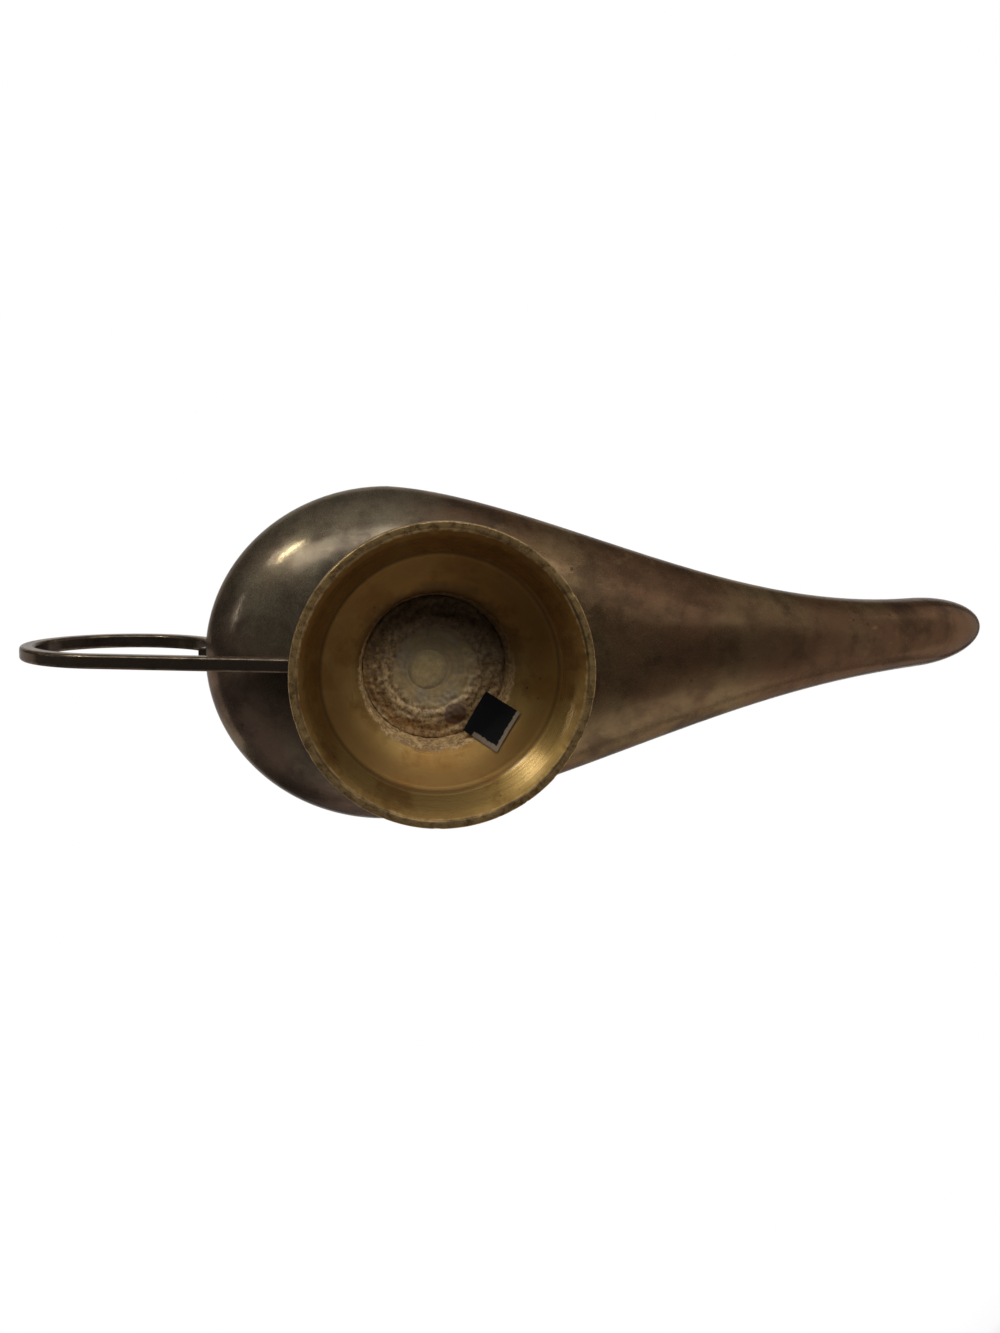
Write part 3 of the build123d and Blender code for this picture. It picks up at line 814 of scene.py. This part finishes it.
# Handle: one square brass bar with rounded corners, bent to a ring, scarfed to the bowl's back and
# run along under the bowl to the foot. Nearly black with age, browner where fingers rub its corners.
handle_brass, tree, shader, coat = aged_brass(
    "handle_brass",
    brown=(0.062, 0.042, 0.03),
    olive=(0.075, 0.053, 0.037),
    dark=(0.025, 0.017, 0.012),
    dullness=0.38,
    relief_depth=0.00003,
)
handle_rubbed = (0.21, 0.14, 0.09)
handle_corner_edge = (0.0009, 0.0017)
where = on_object(tree)
from_middle = number(tree, "ABSOLUTE", axis_part(tree, where, "Y"))
from_middle = number(tree, "ADD", from_middle, fraying(tree, where, width=0.002, scale=300, rough=0.65))
rubbed = product(tree, between(tree, from_middle, *handle_corner_edge), 0.8)
feed(tree, shader, {"Base Color": blend_colour(tree, rubbed, coat.outputs["Colour"], handle_rubbed)})
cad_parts["handle"].material_slots[0].material = handle_brass

# Mouth collar: a turned brass ring, its base filed to the bowl and its spigot soldered in the mouth.
# It is brown with age between fine turning marks, and rubbed bright at its widest. The lid and the
# finial are of the same brass and have the same finish, rubbed on the finial's bulb and tip.
turned_patina, tree, shader, coat = aged_brass(
    "turned_patina",
    brown=(0.115, 0.075, 0.042),
    olive=(0.135, 0.097, 0.05),
    dark=(0.037, 0.024, 0.014),
    dullness=0.34,
    relief_depth=0.00004,
)
mark_brown = (0.07, 0.045, 0.024)
rubbed_gold = (0.34, 0.22, 0.09)
widest_edge = (0.0199, 0.0206)
bulb_from = (0.079, 0.08)
bulb_edge = (0.0037, 0.0045)
tip_from = (0.0885, 0.0915)
where = on_object(tree)
frayed = fraying(tree, where, width=0.0014, scale=400, rough=0.65)
up = axis_part(tree, where, "Z")
out_frayed = number(tree, "ADD", off_axis(tree, where), frayed)
widest = between(tree, out_frayed, *widest_edge)
bulb = product(tree, between(tree, up, *bulb_from), between(tree, out_frayed, *bulb_edge))
tip = between(tree, number(tree, "ADD", up, frayed), *tip_from)
rubbed = number(tree, "MAXIMUM", widest, number(tree, "MAXIMUM", bulb, tip))
marks = between(tree, turning_lines(tree, fineness=6.0), 0.5, 0.7)
tone = blend_colour(tree, product(tree, marks, 0.4), coat.outputs["Colour"], mark_brown)
tone = blend_colour(tree, product(tree, rubbed, 0.75), tone, rubbed_gold)
feed(tree, shader, {"Base Color": tone})
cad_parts["mouth_collar"].material_slots[0].material = turned_patina

# Lid: a domed brass casting, turned all over, with a flange that rests on the collar and a skirt
# that drops into its bore. It is loose, and lifts straight off.
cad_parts["lid"].material_slots[0].material = turned_patina

# Finial: a turned brass knob, with a bulb to hold and a pointed tip. Its tenon passes through the
# lid's crown and is peened over below.
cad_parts["lid_finial"].material_slots[0].material = turned_patina

# Studio: a pale painted floor that curves up all round, soft lights and a pale sky. The camera looks
# up at the lamp's underside, so the floor shows only from above, and lets the lights below it by.
floor_steps = 72
floor_profile = [(0.0, -0.0003), (0.9, -0.0003), (1.2, 0.04), (1.45, 0.2)]
floor_profile += [(1.58, 0.5), (1.62, 0.9), (1.64, 1.4)]
floor_form = bmesh.new()
chain = [floor_form.verts.new((radius, 0, height)) for radius, height in floor_profile]
for first, second in zip(chain, chain[1:]):
    floor_form.edges.new((first, second))
turn(floor_form, floor_steps)
bmesh.ops.remove_doubles(floor_form, verts=floor_form.verts, dist=1e-6)
bmesh.ops.recalc_face_normals(floor_form, faces=floor_form.faces)
floor_form.faces.ensure_lookup_table()
if min(floor_form.faces, key=lambda face: face.calc_center_median().length).normal.z < 0:
    bmesh.ops.reverse_faces(floor_form, faces=floor_form.faces)
floor_data = bpy.data.meshes.new("floor")
floor_form.to_mesh(floor_data)
floor_form.free()
floor_data.shade_smooth()
floor = bpy.data.objects.new("floor", floor_data)
bpy.context.scene.collection.objects.link(floor)
floor_paint, tree, shader = new_material("floor_paint")
shader.inputs["Base Color"].default_value = (0.86, 0.86, 0.85, 1)
shader.inputs["Roughness"].default_value = 0.9
clear = place(tree, "ShaderNodeBsdfTransparent")
below = place(tree, "ShaderNodeNewGeometry").outputs["Backfacing"]
seen = place(tree, "ShaderNodeMixShader", {0: below, 1: shader.outputs[0], 2: clear.outputs[0]})
feed(tree, tree.nodes["Material Output"], {"Surface": seen.outputs[0]})
floor_data.materials.append(floor_paint)
floor.visible_glossy = False
floor.visible_diffuse = False
floor.visible_shadow = False

# The sky by height, from straight down at 0 to straight up at 1, brighter towards the spout and the
# lamp's sides. The cap overhead is white.
cap_from = 0.88
cap_full = 0.895
sky_stops = [(0.0, 0.02), (0.18, 0.05), (0.26, 0.26), (0.33, 0.54), (0.42, 0.64)]
sky_stops += [(0.5, 0.56), (0.6, 0.34), (0.72, 0.1), (cap_from, 0.1), (cap_full, 1.0)]
sky_strength = 0.6
more_ahead = 0.36
more_at_sides = 0.42
more_on_one_side = 0.28
sky = bpy.data.worlds.new("sky")
sky.use_nodes = True
tree = sky.node_tree
facing = place(tree, "ShaderNodeTexCoord").outputs["Generated"]
facing_x = axis_part(tree, facing, "X")
facing_y = axis_part(tree, facing, "Y")
level = number(tree, "ADD", product(tree, axis_part(tree, facing, "Z"), 0.5), 0.5)
shade = place(tree, "ShaderNodeValToRGB", {0: level})
while len(shade.color_ramp.elements) < len(sky_stops):
    shade.color_ramp.elements.new(0.5)
for element, (position, value) in zip(shade.color_ramp.elements, sky_stops):
    element.position = position
    element.color = (value, value, value, 1)
strength = number(tree, "ADD", product(tree, facing_x, more_ahead), sky_strength)
strength = summed(
    tree, strength, (product(tree, facing_y, facing_y), more_at_sides), (facing_y, more_on_one_side)
)
strength = blend_value(tree, between(tree, level, cap_from, cap_full), strength, 1.0)
feed(tree, tree.nodes["Background"], {"Color": shade.outputs[0], "Strength": strength})
bpy.context.scene.world = sky

# Each light's place and size in metres, its power in watts and its colour. All face the lamp.
white = (1.0, 1.0, 1.0)
cool = (0.92, 1.0, 1.05)
window_tint = (0.92, 1.02, 0.88)
light_target = Vector((0, 0, 0.03))
soft_lights = [
    ("light_under", (-0.02, -0.64, -0.365), (1.1, 0.2), 3.9, cool),
    ("light_window", (-0.5, -0.6, -0.16), (0.15, 0.045), 1.5, window_tint),
    ("light_pane", (-0.56, -0.57, -0.078), (0.14, 0.03), 0.22, cool),
    ("light_strip", (-0.76, -0.22, -0.035), (0.2, 0.014), 0.2, cool),
    ("light_low", (0.62, -0.52, -0.42), (0.6, 0.3), 0.5, cool),
    ("light_side", (0.45, 0.8, -0.14), (0.8, 0.5), 0.8, cool),
    ("light_front", (0.95, 0.0, 0.44), (1.2, 0.5), 1.8, white),
    ("light_top", (0.3, 0.85, 0.55), (1.2, 0.6), 2.0, white),
    ("light_back", (-0.72, 0.32, 0.6), (0.6, 0.5), 1.4, white),
]
for name, spot, (wide, high), power, colour in soft_lights:
    panel = bpy.data.lights.new(name, "AREA")
    panel.shape = "RECTANGLE"
    panel.size = wide
    panel.size_y = high
    panel.energy = power
    panel.color = colour
    light = bpy.data.objects.new(name, panel)
    light.location = spot
    light.rotation_euler = (light_target - Vector(spot)).to_track_quat("-Z", "Y").to_euler()
    light.visible_camera = False
    bpy.context.scene.collection.objects.link(light)

# The camera, fitted to the lamp's outline in the photograph: its focal length in pixels of the frame,
# its place in metres and its three axes.
focal_pixels = 1656.33
frame_pixels = 1333
sensor_size = 36
camera_place = (-0.04266, -0.04054, -0.31416)
camera_right = (0.98595, -0.00759, -0.16686)
camera_up = (0.01267, -0.99269, 0.12005)
camera_back = (-0.16656, -0.12047, -0.97864)
camera_data = bpy.data.cameras.new("camera")
camera_data.lens = sensor_size * focal_pixels / frame_pixels
camera_data.clip_start = 0.01
camera = bpy.data.objects.new("camera", camera_data)
camera_axes = Matrix((camera_right, camera_up, camera_back)).transposed().to_4x4()
camera.matrix_world = Matrix.Translation(camera_place) @ camera_axes
bpy.context.scene.collection.objects.link(camera)
bpy.context.scene.camera = camera
bpy.context.scene.view_settings.view_transform = "Standard"
